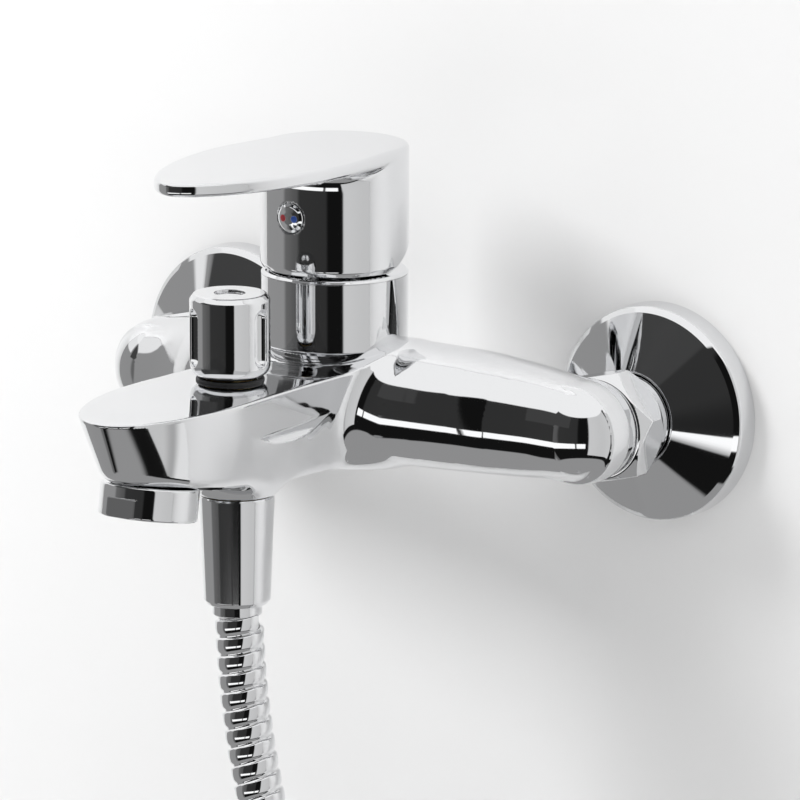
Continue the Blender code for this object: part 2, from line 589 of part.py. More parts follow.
def smooth(points, steps):
    """Points on a smooth curve through the given points, steps to each stretch."""
    points = [Vector(p) for p in points]
    padded = [2 * points[0] - points[1]] + points + [2 * points[-1] - points[-2]]
    curve = []
    for before, start, end, after in zip(padded, padded[1:], padded[2:], padded[3:]):
        for i in range(steps):
            t = i / steps
            curve.append(0.5 * (2 * start + (end - before) * t
                                + (2 * before - 5 * start + 4 * end - after) * t * t
                                + (3 * start - before - 3 * end + after) * t ** 3))
    return curve + [points[-1]]


def coil_centre():
    x, z = HOSE_LEAD[-1]
    reach = COIL_R * math.sqrt(0.5)
    return x - reach, z - reach


def coil_points(first, last, steps):
    """Centre line of the coil between two counts of turns, with the tail stepping towards the wall."""
    centre_x, centre_z = coil_centre()
    points = []
    for i in range(steps + 1):
        turn = first + (last - first) * i / steps
        angle = math.radians(45 - 360 * turn)
        share = max(0.0, 1 + (turn - COIL_TURNS) / COIL_TAIL_TURNS)
        step = COIL_TAIL_SHIFT * share * share * (3 - 2 * share)
        points.append((centre_x + COIL_R * math.cos(angle), OUTLET_Y + COIL_PITCH * turn + step,
                       centre_z + COIL_R * math.sin(angle)))
    return points


def cord(name, points):
    """Round cord of the hose's diameter through points."""
    line = bpy.data.curves.new(name, "CURVE")
    line.dimensions = "3D"
    line.bevel_depth = HOSE_D / 2 * MM
    line.bevel_resolution = 2
    line.use_fill_caps = True
    spline = line.splines.new("POLY")
    spline.points.add(len(points) - 1)
    for slot, point in zip(spline.points, points):
        slot.co = (*(Vector(point) * MM), 1)
    line.materials.append(material(HOSE))
    made = bpy.data.objects.new(name, line)
    bpy.context.scene.collection.objects.link(made)


def hose():
    centre_x, centre_z = coil_centre()
    lead = smooth([(x, OUTLET_Y, z) for x, z in HOSE_LEAD], 8)
    clear = COIL_R + HOSE_D + 2 * GAP
    outside = [p for p in lead if math.hypot(p[0] - centre_x, p[2] - centre_z) > clear]
    cord("shower_hose", outside[1:-8:20] + outside[-1:])

    half = HOSE_D / 2 + 0.2
    near = OUTLET_Y - half
    far = OUTLET_Y + (COIL_TURNS - 0.25) * COIL_PITCH + half
    soft = 4.0
    ring = [(COIL_R - half, near + soft), (COIL_R - half + soft, near), (COIL_R + half - soft, near),
            (COIL_R + half, near + soft), (COIL_R + half, far - soft), (COIL_R + half - soft, far),
            (COIL_R - half + soft, far), (COIL_R - half, far - soft)]
    turned("hose_coil", ring, HOSE, (centre_x, 0, centre_z), (0, 1, 0), 32)

    tail = coil_points(COIL_TURNS - 0.16, COIL_TURNS, 16)
    beside = [p for p in tail if p[1] > far + HOSE_D / 2 + GAP]
    cord("hose_tail", beside[::4] + beside[-1:])

    cone_nut("hose_end_nut", "hose_end_ferrule", "hose_end_washer", tail[-1], (0, 0, 1), -34.5)

    hug = half + 3 * GAP
    angle = math.radians(100)
    spoke = Vector((math.cos(angle), 0, math.sin(angle)))
    middle = Vector((centre_x, 0, centre_z)) + spoke * COIL_R
    around = Vector((-spoke.z, 0, spoke.x))
    bm = bmesh.new()
    rings = []
    for thick, width in ((0.0, -3.0), (0.0, 3.0), (1.4, 3.0), (1.4, -3.0)):
        front = near - GAP - thick
        rear = far + GAP + thick
        loop = []
        for up, y in ((-1, front), (1, front), (1, rear), (-1, rear)):
            loop.append(bm.verts.new(middle + spoke * up * (hug + thick) + Vector((0, y, 0))
                                     + around * width))
        rings.append(loop)
    for low, high in zip(rings, rings[1:] + rings[:1]):
        for i in range(4):
            j = (i + 1) % 4
            bm.faces.new([low[i], low[j], high[j], high[i]])
    finish_mesh("hose_tie", bm, TIE)


clear_scene()
body_casting()
cartridge()
lever_handle()
diverter()
aerator()
union(-1, "left")
union(1, "right")
hose_fittings()
hose()
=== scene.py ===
"""Looks of the wall-mounted bath mixer: chrome castings, fittings, hose, room and camera.

Shapes are worked out in millimetres in the frame's own axes (wall at Y = 0, front towards -Y)
and become metres where a mesh is made.
"""

import json
import math

import bpy
import numpy as np
from mathutils import Matrix, Vector


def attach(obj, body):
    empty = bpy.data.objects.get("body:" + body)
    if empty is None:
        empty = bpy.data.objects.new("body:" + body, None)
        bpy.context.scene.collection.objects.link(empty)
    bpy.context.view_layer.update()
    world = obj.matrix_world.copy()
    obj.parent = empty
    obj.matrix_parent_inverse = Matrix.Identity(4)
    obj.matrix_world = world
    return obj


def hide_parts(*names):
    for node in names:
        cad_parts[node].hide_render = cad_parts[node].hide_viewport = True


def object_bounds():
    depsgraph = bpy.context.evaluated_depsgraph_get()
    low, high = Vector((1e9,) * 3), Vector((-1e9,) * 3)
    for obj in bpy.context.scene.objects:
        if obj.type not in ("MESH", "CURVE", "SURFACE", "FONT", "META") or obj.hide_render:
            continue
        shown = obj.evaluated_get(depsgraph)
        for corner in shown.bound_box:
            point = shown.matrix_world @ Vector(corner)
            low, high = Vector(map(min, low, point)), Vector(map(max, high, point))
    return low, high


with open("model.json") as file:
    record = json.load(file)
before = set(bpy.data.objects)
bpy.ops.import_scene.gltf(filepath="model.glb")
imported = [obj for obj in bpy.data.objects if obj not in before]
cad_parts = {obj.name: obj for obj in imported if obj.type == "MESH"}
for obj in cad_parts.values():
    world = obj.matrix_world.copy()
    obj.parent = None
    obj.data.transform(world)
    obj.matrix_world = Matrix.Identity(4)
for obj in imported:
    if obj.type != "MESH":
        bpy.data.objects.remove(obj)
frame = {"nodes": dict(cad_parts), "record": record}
CAD_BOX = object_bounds()

MM = 0.001

# Body
TOWER_Y = -57.0
SPOUT_TOP_Z = 17.0
SPOUT_DROOP = 1.6
SPOUT_CROWN = 0.8
SPOUT_TIP_Y = -167.4
SPOUT_WIDEST_Y = -128.0
SPOUT_HALF_WIDTH = 21.3
SPOUT_ROOT_HALF_WIDTH = 20.4
UNDERSIDE_FRONT = (-143.4, -6.2)
UNDERSIDE_SLOPE = 0.18
UNDERSIDE_LOW_Z = -12.9
OUTLET_Y = -103.7
OUTLET_Z = -15.4
GROOVE_Z = (17.4, 20.0)
TOWER_R = 21.1
TOWER_TOP_Z = 40.7
SEAT_Z = 15.5
BORE_R = 17.9
ARM = [(0.0, -57.0, 5.0, 17.6), (12.0, -56.6, 5.3, 17.9), (25.0, -55.0, 5.4, 18.0),
       (35.0, -52.0, 4.8, 17.8), (45.0, -48.0, 3.9, 17.4), (55.0, -43.8, 2.6, 16.6),
       (65.0, -41.0, 1.6, 15.6), (74.5, -40.2, 0.9, 14.6)]
INLET_X = 75.0
INLET_FACE_Y = -34.0

# Handle
HANDLE_R = 21.3
HANDLE_BOTTOM_Z = 42.7
HANDLE_TOP_Z = 78.0
LEVER_WIDEST_Y = -82.0
LEVER_HALF_WIDTH = 23.9
LEVER_TIP_Y = -135.0
PLUG_Z = 59.4

# Diverter knob
KNOB_Y = -106.5
KNOB_R = 11.4
KNOB_Z = (18.7, 42.6)

# Aerator
AERATOR_POINT = (0.0, -143.4, -6.4)
AERATOR_TILT = math.radians(9.5)
AERATOR_R = 13.9
AERATOR_LENGTH = 8.7

# Hose
HOSE_PITCH = 5.25
HOSE_LEAD = [(0.6, -49.3), (0.9, -57.3), (1.5, -65.3), (2.3, -73.2), (3.5, -81.1), (4.9, -89.1),
             (6.6, -96.9), (8.5, -104.6), (10.7, -112.3), (13.6, -120.9), (16.8, -129.3), (20.6, -137.4),
             (25.0, -145.3), (30.0, -152.8), (35.8, -159.7), (37.7, -161.7)]
COIL_R = 70.0
COIL_PITCH = 14.3
COIL_TURNS = 3.125
COIL_TAIL_SHIFT = 16.0
COIL_TAIL_TURNS = 0.35

# View
VIEW_AZIMUTH = math.radians(36.016)
VIEW_ELEVATION = math.radians(12.14)
VIEW_DISTANCE = 2.297
VIEW_LENS = 360.0
VIEW_AIM = (0.0, -0.05, 0.0)
VIEW_SHIFT_RIGHT = 0.0145
VIEW_SHIFT_UP = 0.0019

# Room that the chrome mirrors. Turns are degrees to the right of the camera's own azimuth, and heights
# are degrees above the horizon. Greys round the horizon as (turn, tone).
HORIZON = [(-180, 0.94), (-151, 0.90), (-147, 0.33), (-88, 0.32), (-80, 0.15), (-62, 0.11),
           (-54, 0.038), (-14, 0.035), (-9, 0.007), (12, 0.007), (15, 0.70), (54, 0.65), (64, 0.45),
           (71, 0.90), (180, 0.94)]
BLACK = 0.008
# Patches over it as (lowest, highest, leftmost, rightmost, width of the soft edge, tone)
PATCHES = [(22, 42, -179, -99, 2.0, 0.95),      # pale upper left
           (16, 42, -93, -33, 2.0, 0.06),       # dark upper middle
           (-45, -27, -74, 12, 2.0, BLACK),     # black under the strips
           (-29, -19, -72, -17.6, 0.8, 1.25),   # bright strip
           (-29, -19, -13.6, 6, 0.8, 1.25),     # bright strip, right of a narrow gap
           (-95, -54, -180, 180, 2.0, 0.33),    # grey floor
           (40.5, 95, -180, 180, 1.0, 1.06)]    # white ceiling
DARK_FLOOR = (-55, -40, -74, 170, 2.0)
DARK_FLOOR_SLANT = 10.0
DARK_FLOOR_EDGE = 3.058
BACKDROP_TONE = 0.88


# ---------------------------------------------------------------- materials


def new_material(name):
    """A material with its Principled shader, node tree and an object-space position output."""
    made = bpy.data.materials.new(name)
    made.use_nodes = True
    tree = made.node_tree
    place = tree.nodes.new("ShaderNodeTexCoord").outputs["Object"]
    return made, tree, tree.nodes["Principled BSDF"], place


def noise(tree, place, scale, detail=3.0, stretch=(1, 1, 1)):
    """Noise over a position, stretched along each axis."""
    mapping = tree.nodes.new("ShaderNodeMapping")
    mapping.inputs["Scale"].default_value = stretch
    tree.links.new(place, mapping.inputs["Vector"])
    made = tree.nodes.new("ShaderNodeTexNoise")
    made.inputs["Scale"].default_value = scale
    made.inputs["Detail"].default_value = detail
    tree.links.new(mapping.outputs["Vector"], made.inputs["Vector"])
    return made.outputs["Fac"]


def ranged(tree, value, low, high):
    """value from 0..1 spread over low..high."""
    made = tree.nodes.new("ShaderNodeMapRange")
    made.inputs["To Min"].default_value = low
    made.inputs["To Max"].default_value = high
    tree.links.new(value, made.inputs["Value"])
    return made.outputs["Result"]


def blended(tree, factor, first, second):
    """Colour between first and second."""
    made = tree.nodes.new("ShaderNodeMix")
    made.data_type = "RGBA"
    made.inputs["A"].default_value = (*first, 1)
    made.inputs["B"].default_value = (*second, 1)
    tree.links.new(factor, made.inputs["Factor"])
    return made.outputs["Result"]


def bumped(tree, shader, height, strength, distance):
    """Gives the shader a bump from a height."""
    made = tree.nodes.new("ShaderNodeBump")
    made.inputs["Strength"].default_value = strength
    made.inputs["Distance"].default_value = distance
    tree.links.new(height, made.inputs["Height"])
    tree.links.new(made.outputs["Normal"], shader.inputs["Normal"])


def chrome(name, colour=(0.80, 0.805, 0.815), smooth_end=0.025, rough_end=0.06):
    """Polished chrome plate: faint haze and water marks, and a trace of the polisher's ripple."""
    made, tree, shader, place = new_material(name)
    shader.inputs["Metallic"].default_value = 1.0
    haze = noise(tree, place, 38.0, 4.0)
    darker = tuple(c * 0.965 for c in colour)
    tree.links.new(blended(tree, haze, colour, darker), shader.inputs["Base Color"])
    tree.links.new(ranged(tree, haze, smooth_end, rough_end), shader.inputs["Roughness"])
    bumped(tree, shader, noise(tree, place, 60.0, 1.0), 0.02, 0.0004)
    return made


def machined(name, colour, roughness, across=900.0):
    """Turned metal with fine tool marks round its axis."""
    made, tree, shader, place = new_material(name)
    shader.inputs["Metallic"].default_value = 1.0
    marks = noise(tree, place, across, 2.0, (0.05, 0.05, 1.0))
    stain = noise(tree, place, 60.0, 3.0)
    darker = tuple(c * 0.8 for c in colour)
    tree.links.new(blended(tree, stain, colour, darker), shader.inputs["Base Color"])
    tree.links.new(ranged(tree, marks, roughness * 0.7, roughness * 1.3), shader.inputs["Roughness"])
    bumped(tree, shader, marks, 0.15, 0.0001)
    return made


def moulded(name, colour, roughness, grain=1500.0, depth=0.12):
    """Moulded plastic, rubber or ceramic with a fine grain."""
    made, tree, shader, place = new_material(name)
    tint = noise(tree, place, 90.0, 2.0)
    darker = tuple(c * 0.85 for c in colour)
    tree.links.new(blended(tree, tint, colour, darker), shader.inputs["Base Color"])
    tree.links.new(ranged(tree, tint, roughness * 0.85, roughness * 1.15), shader.inputs["Roughness"])
    bumped(tree, shader, noise(tree, place, grain, 2.0), depth, 0.0001)
    return made


def indicator_material():
    """Chrome plug with a red dot on the hot side and a blue dot on the cold side."""
    made, tree, shader, place = new_material("indicator_chrome")
    colour = None
    painted = None
    for x, tone in ((-0.0019, (0.42, 0.03, 0.04)), (0.0019, (0.03, 0.09, 0.40))):
        gap = tree.nodes.new("ShaderNodeVectorMath")
        gap.operation = "DISTANCE"
        gap.inputs[1].default_value = (x, (TOWER_Y - 21.8) * MM, PLUG_Z * MM)
        tree.links.new(place, gap.inputs[0])
        dot = tree.nodes.new("ShaderNodeMapRange")
        dot.inputs["From Min"].default_value = 0.00115
        dot.inputs["From Max"].default_value = 0.00095
        tree.links.new(gap.outputs["Value"], dot.inputs["Value"])
        mix = tree.nodes.new("ShaderNodeMix")
        mix.data_type = "RGBA"
        mix.inputs["A"].default_value = (0.83, 0.84, 0.85, 1)
        mix.inputs["B"].default_value = (*tone, 1)
        if colour:
            tree.links.new(colour, mix.inputs["A"])
        tree.links.new(dot.outputs["Result"], mix.inputs["Factor"])
        colour = mix.outputs["Result"]
        if painted is None:
            painted = dot.outputs["Result"]
        else:
            either = tree.nodes.new("ShaderNodeMath")
            either.operation = "MAXIMUM"
            tree.links.new(painted, either.inputs[0])
            tree.links.new(dot.outputs["Result"], either.inputs[1])
            painted = either.outputs[0]
    tree.links.new(colour, shader.inputs["Base Color"])
    tree.links.new(ranged(tree, painted, 1.0, 0.0), shader.inputs["Metallic"])
    tree.links.new(ranged(tree, painted, 0.05, 0.3), shader.inputs["Roughness"])
    return made


# ---------------------------------------------------------------- mesh making


def add_mesh(name, points, faces, look, body, nodes, normals=None, place=(0, 0, 0)):
    """Mesh object from points in millimetres, riding on a body and standing for CAD nodes."""
    mesh = bpy.data.meshes.new(name)
    mesh.from_pydata((np.asarray(points, float) * MM).tolist(), [], faces)
    mesh.update()
    mesh.shade_smooth()
    if normals is not None:
        mesh.normals_split_custom_set_from_vertices(np.asarray(normals, float).tolist())
    mesh.materials.append(look)
    made = bpy.data.objects.new(name, mesh)
    made.location = Vector(place) * MM
    bpy.context.scene.collection.objects.link(made)
    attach(made, body)
    if nodes:
        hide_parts(*nodes)
    return made


def softened(profile, radius, steps=4):
    """Closed outline of (r, z) with each corner rounded; a point may give its own radius."""
    out = []
    count = len(profile)
    for i in range(count):
        before = Vector(profile[i - 1][:2])
        corner = Vector(profile[i][:2])
        after = Vector(profile[(i + 1) % count][:2])
        size = profile[i][2] if len(profile[i]) > 2 else radius
        a = before - corner
        b = after - corner
        if size <= 0 or a.length < 1e-6 or b.length < 1e-6:
            out.append(tuple(corner))
            continue
        angle = a.angle(b)
        if angle > math.pi - 0.02:
            out.append(tuple(corner))
            continue
        reach = min(size / math.tan(angle / 2), a.length * 0.45, b.length * 0.45)
        start = corner + a.normalized() * reach
        end = corner + b.normalized() * reach
        for k in range(steps + 1):
            t = k / steps
            out.append(tuple((1 - t) ** 2 * start + 2 * t * (1 - t) * corner + t * t * end))
    return out


def turned(name, profile, look, body, nodes, centre, direction=(0, 0, 1), radius=0.3, segments=96):
    """Solid of revolution about direction, its corners softened and its flats kept flat."""
    outline = softened(profile, radius)
    turn = Vector((0, 0, 1)).rotation_difference(Vector(direction)).to_matrix()
    count = len(outline)
    points = []
    normals = []
    for i, (r, z) in enumerate(outline):
        along = Vector(outline[(i + 1) % count]) - Vector(outline[i - 1])
        along.normalize()
        for k in range(segments):
            angle = 2 * math.pi * k / segments
            c, s = math.cos(angle), math.sin(angle)
            points.append(tuple(turn @ Vector((max(r, 0.0) * c, max(r, 0.0) * s, z))))
            normals.append(tuple(turn @ Vector((along.y * c, along.y * s, -along.x))))
    faces = []
    for i in range(count):
        j = (i + 1) % count
        if outline[i][0] <= 1e-6 and outline[j][0] <= 1e-6:
            continue
        for k in range(segments):
            m = (k + 1) % segments
            faces.append((i * segments + k, i * segments + m, j * segments + m, j * segments + k))
    area = sum(a[0] * b[1] - b[0] * a[1] for a, b in zip(outline, outline[1:] + outline[:1]))
    if area < 0:
        faces = [face[::-1] for face in faces]
        normals = [(-x, -y, -z) for x, y, z in normals]
    points = [tuple(Vector(p) + Vector(centre)) for p in points]
    return add_mesh(name, points, faces, look, body, nodes, normals)


def meet(a, b, r):
    """Smooth maximum: the overlap of two shapes, its edge rounded over about r."""
    h = np.maximum(r - np.abs(a - b), 0.0)
    return np.maximum(a, b) + h * h / (4 * r)


def join(a, b, r):
    """Smooth minimum: the union of two shapes with a fillet of about r."""
    h = np.maximum(r - np.abs(a - b), 0.0)
    return np.minimum(a, b) - h * h / (4 * r)


def eased(t):
    """0 to 1 with a soft start and end."""
    t = np.clip(t, 0.0, 1.0)
    return t * t * (3 - 2 * t)


def gradient(field, p, step=0.02):
    """Slope of a field at points p."""
    out = np.empty_like(p)
    for axis in range(3):
        shift = np.zeros(3)
        shift[axis] = step
        ahead = p + shift
        behind = p - shift
        out[:, axis] = (field(*ahead.T) - field(*behind.T)) / (2 * step)
    return out


def surface_of(field, low, high, cell):
    """Points, faces and normals of the zero surface of a field, by surface nets on a grid."""
    axes = [np.arange(lo - cell, hi + 2 * cell, cell) for lo, hi in zip(low, high)]
    slabs = []
    for start in range(0, len(axes[0]), 32):
        x, y, z = np.meshgrid(axes[0][start:start + 32], axes[1], axes[2], indexing="ij")
        slabs.append(field(x, y, z).astype(np.float32))
    value = np.concatenate(slabs, axis=0)
    inside = value < 0
    corners = [(i, j, k) for i in (0, 1) for j in (0, 1) for k in (0, 1)]
    nx, ny, nz = (n - 1 for n in value.shape)
    total = np.zeros((nx, ny, nz), np.int8)
    for i, j, k in corners:
        total += inside[i:i + nx, j:j + ny, k:k + nz]
    cells = np.argwhere((total > 0) & (total < 8))
    index = np.full((nx, ny, nz), -1, np.int64)
    index[tuple(cells.T)] = np.arange(len(cells))
    held = {c: value[cells[:, 0] + c[0], cells[:, 1] + c[1], cells[:, 2] + c[2]].astype(float)
            for c in corners}
    place = np.zeros((len(cells), 3))
    hits = np.zeros(len(cells))
    for a in corners:
        for axis in range(3):
            if a[axis]:
                continue
            b = list(a)
            b[axis] = 1
            va, vb = held[a], held[tuple(b)]
            cross = (va < 0) != (vb < 0)
            share = np.where(cross, va / np.where(cross, va - vb, 1.0), 0.0)
            at = np.tile(np.array(a, float), (len(cells), 1))
            at[:, axis] += share
            place += at * cross[:, None]
            hits += cross
    points = np.array([a[0] for a in axes]) + (cells + place / hits[:, None]) * cell
    faces = []
    for axis in range(3):
        u, v = (axis + 1) % 3, (axis + 2) % 3
        near = [slice(None)] * 3
        near[axis] = slice(0, -1)
        far = [slice(None)] * 3
        far[axis] = slice(1, None)
        change = inside[tuple(near)] != inside[tuple(far)]
        edges = np.argwhere(change)
        good = (edges[:, u] > 0) & (edges[:, v] > 0) & (edges[:, u] < index.shape[u])
        edges = edges[good & (edges[:, v] < index.shape[v])]
        around = []
        for du, dv in ((-1, -1), (0, -1), (0, 0), (-1, 0)):
            spot = edges.copy()
            spot[:, u] += du
            spot[:, v] += dv
            around.append(index[tuple(spot.T)])
        quads = np.stack(around, 1)
        outward = inside[tuple(edges.T)]
        quads[~outward] = quads[~outward][:, ::-1]
        faces.append(quads)
    faces = np.concatenate(faces)
    for _ in range(3):
        slope = gradient(field, points)
        size = np.maximum((slope * slope).sum(1), 0.05)
        move = -(field(*points.T) / size)[:, None] * slope
        length = np.linalg.norm(move, axis=1)
        points = points + move * np.minimum(1.0, 0.5 * cell / np.maximum(length, 1e-9))[:, None]
    normals = gradient(field, points)
    normals /= np.maximum(np.linalg.norm(normals, axis=1), 1e-9)[:, None]
    return points, faces.tolist(), normals


def modelled(name, field, low, high, cell, look, body, nodes):
    """Mesh object of a field's zero surface."""
    points, faces, normals = surface_of(field, low, high, cell)
    return add_mesh(name, points, faces, look, body, nodes, normals)


# ---------------------------------------------------------------- camera, light and room


def camera():
    """Camera a little to the right of the mixer and above it, with a long lens."""
    a, e = VIEW_AZIMUTH, VIEW_ELEVATION
    back = Vector((math.sin(a) * math.cos(e), -math.cos(a) * math.cos(e), math.sin(e)))
    right = Vector((math.cos(a), math.sin(a), 0.0))
    up = back.cross(right)
    aim = Vector(VIEW_AIM) + right * VIEW_SHIFT_RIGHT + up * VIEW_SHIFT_UP
    data = bpy.data.cameras.new("camera")
    data.lens = VIEW_LENS
    data.sensor_width = 36.0
    data.clip_start = 0.1
    made = bpy.data.objects.new("camera", data)
    turn = Matrix((right, up, back)).transposed().to_4x4()
    made.matrix_world = Matrix.Translation(aim + back * VIEW_DISTANCE) @ turn
    bpy.context.scene.collection.objects.link(made)
    bpy.context.scene.camera = made


def from_front(turn, height):
    """Direction at an angle from -Y towards +X and an angle above the horizon, in degrees."""
    t, h = math.radians(turn), math.radians(height)
    return Vector((math.sin(t) * math.cos(h), -math.cos(t) * math.cos(h), math.sin(h)))


def lamp(name, turn, height, distance, size, power):
    """Soft lamp aimed at the mixer, which the chrome doesn't mirror."""
    data = bpy.data.lights.new(name, "AREA")
    data.size = size
    data.energy = power
    made = bpy.data.objects.new(name, data)
    towards = from_front(turn, height)
    made.location = Vector((0, -0.05, 0)) + towards * distance
    made.rotation_euler = towards.to_track_quat("Z", "Y").to_euler()
    made.visible_glossy = False
    bpy.context.scene.collection.objects.link(made)


def ramp(tree, value, stops):
    """Grey ramp over value from 0 to 1, with (place, tone) stops."""
    made = tree.nodes.new("ShaderNodeValToRGB")
    made.color_ramp.interpolation = "EASE"
    elements = made.color_ramp.elements
    while len(elements) < len(stops):
        elements.new(0.5)
    for element, (place, tone) in zip(elements, stops):
        element.position = place
        element.color = (tone, tone, tone, 1)
    tree.links.new(value, made.inputs["Fac"])
    return made.outputs["Color"]


def calculated(tree, operation, *values):
    """One sum over numbers and sockets."""
    made = tree.nodes.new("ShaderNodeMath")
    made.operation = operation
    for slot, value in zip(made.inputs, values):
        if isinstance(value, (int, float)):
            slot.default_value = value
        else:
            tree.links.new(value, slot)
    return made.outputs[0]


def studio():
    """World that chrome mirrors: a dim room in front, pale screens to the right, a white ceiling."""
    world = bpy.data.worlds.new("studio")
    bpy.context.scene.world = world
    world.use_nodes = True
    tree = world.node_tree
    towards = tree.nodes.new("ShaderNodeTexCoord").outputs["Generated"]
    parts = tree.nodes.new("ShaderNodeSeparateXYZ")
    tree.links.new(towards, parts.inputs[0])
    x, y, z = parts.outputs
    turn = calculated(tree, "ARCTAN2", x, calculated(tree, "MULTIPLY", y, -1.0))
    round_room = calculated(tree, "FRACT", calculated(tree, "ADD", calculated(
        tree, "DIVIDE", calculated(tree, "SUBTRACT", turn, VIEW_AZIMUTH), 2 * math.pi), 1.5))
    height = calculated(tree, "ADD", calculated(tree, "DIVIDE", calculated(
        tree, "ARCSINE", z), math.pi), 0.5)

    def share(degrees):
        return degrees / 360 + 0.5

    def level(degrees):
        return degrees / 180 + 0.5

    def zone(low, high, left, right, soft):
        """1 inside a patch of directions between two heights and two turns, with soft edges."""
        upright = ramp(tree, height, [(level(low - soft), 0), (level(low), 1), (level(high), 1),
                                      (level(high + soft), 0)])
        if left <= -180 and right >= 180:
            return upright
        sideways = ramp(tree, round_room, [(share(left - soft), 0), (share(left), 1),
                                           (share(right), 1), (share(right + soft), 0)])
        return calculated(tree, "MULTIPLY", upright, sideways)

    def painted(under, patch, grey):
        mix = tree.nodes.new("ShaderNodeMix")
        mix.data_type = "RGBA"
        mix.inputs["B"].default_value = (grey, grey, grey, 1)
        tree.links.new(under, mix.inputs["A"])
        tree.links.new(patch, mix.inputs["Factor"])
        return mix.outputs["Result"]

    tone = ramp(tree, round_room, [(share(turn), grey) for turn, grey in HORIZON])
    slanting = calculated(tree, "SUBTRACT", calculated(tree, "ADD", round_room, calculated(
        tree, "MULTIPLY", height, DARK_FLOOR_SLANT)), DARK_FLOOR_EDGE - 0.5)
    below = ramp(tree, slanting, [(0.49, 1), (0.51, 0)])
    tone = painted(tone, calculated(tree, "MULTIPLY", zone(*DARK_FLOOR), below), BLACK)
    for *directions, grey in PATCHES:
        tone = painted(tone, zone(*directions), grey)
    seen = tree.nodes.new("ShaderNodeLightPath").outputs["Is Camera Ray"]
    tree.links.new(painted(tone, seen, BACKDROP_TONE), tree.nodes["Background"].inputs["Color"])


def pale(name, tone, roughness):
    """Matt paint with a faint unevenness."""
    made, tree, shader, place = new_material(name)
    shade = noise(tree, place, 1.5, 1.0)
    tree.links.new(blended(tree, shade, (tone, tone, tone), (tone * 0.985,) * 3),
                   shader.inputs["Base Color"])
    shader.inputs["Roughness"].default_value = roughness
    return made


def room():
    """Pale floor below, and a pale wall that is only there from in front."""
    low = CAD_BOX[0][2] - 0.01
    floor = bpy.data.meshes.new("floor")
    floor.from_pydata([(-3, -4, low), (3, -4, low), (3, 2, low), (-3, 2, low)], [], [(0, 1, 2, 3)])
    floor.materials.append(pale("pale_floor", 0.85, 0.5))
    floor = bpy.data.objects.new("floor", floor)
    floor.visible_glossy = False
    wall = bpy.data.meshes.new("wall")
    wall.from_pydata([(-3, 0, low), (3, 0, low), (3, 0, 3), (-3, 0, 3)], [], [(0, 1, 2, 3)])
    look = pale("pale_wall", 0.9, 0.25)
    tree = look.node_tree
    clear = tree.nodes.new("ShaderNodeBsdfTransparent")
    side = tree.nodes.new("ShaderNodeNewGeometry").outputs["Backfacing"]
    mix = tree.nodes.new("ShaderNodeMixShader")
    tree.links.new(side, mix.inputs[0])
    tree.links.new(tree.nodes["Principled BSDF"].outputs[0], mix.inputs[1])
    tree.links.new(clear.outputs[0], mix.inputs[2])
    tree.links.new(mix.outputs[0], tree.nodes["Material Output"].inputs["Surface"])
    wall.materials.append(look)
    wall = bpy.data.objects.new("wall", wall)
    for thing in (floor, wall):
        bpy.context.scene.collection.objects.link(thing)


# ---------------------------------------------------------------- hose


def smooth(points, steps):
    """Points on a smooth curve through the given points, steps to each stretch."""
    points = [Vector(p) for p in points]
    padded = [2 * points[0] - points[1]] + points + [2 * points[-1] - points[-2]]
    curve = []
    for before, start, end, after in zip(padded, padded[1:], padded[2:], padded[3:]):
        for i in range(steps):
            t = i / steps
            curve.append(0.5 * (2 * start + (end - before) * t
                                + (2 * before - 5 * start + 4 * end - after) * t * t
                                + (3 * start - before - 3 * end + after) * t ** 3))
    return curve + [points[-1]]


def hose_line():
    """Centre line of the whole hose: the lead, then the turns of the coil and its tail."""
    points = smooth([(x, OUTLET_Y, z) for x, z in HOSE_LEAD], 8)
    last = points[-1]
    centre = Vector((last.x - COIL_R * math.sqrt(0.5), 0, last.z - COIL_R * math.sqrt(0.5)))
    steps = int(COIL_TURNS * 120)
    for i in range(1, steps + 1):
        turn = COIL_TURNS * i / steps
        angle = math.radians(45 - 360 * turn)
        share = max(0.0, 1 + (turn - COIL_TURNS) / COIL_TAIL_TURNS)
        step = COIL_TAIL_SHIFT * share * share * (3 - 2 * share)
        points.append(Vector((centre.x + COIL_R * math.cos(angle), OUTLET_Y + COIL_PITCH * turn + step,
                              centre.z + COIL_R * math.sin(angle))))
    return points


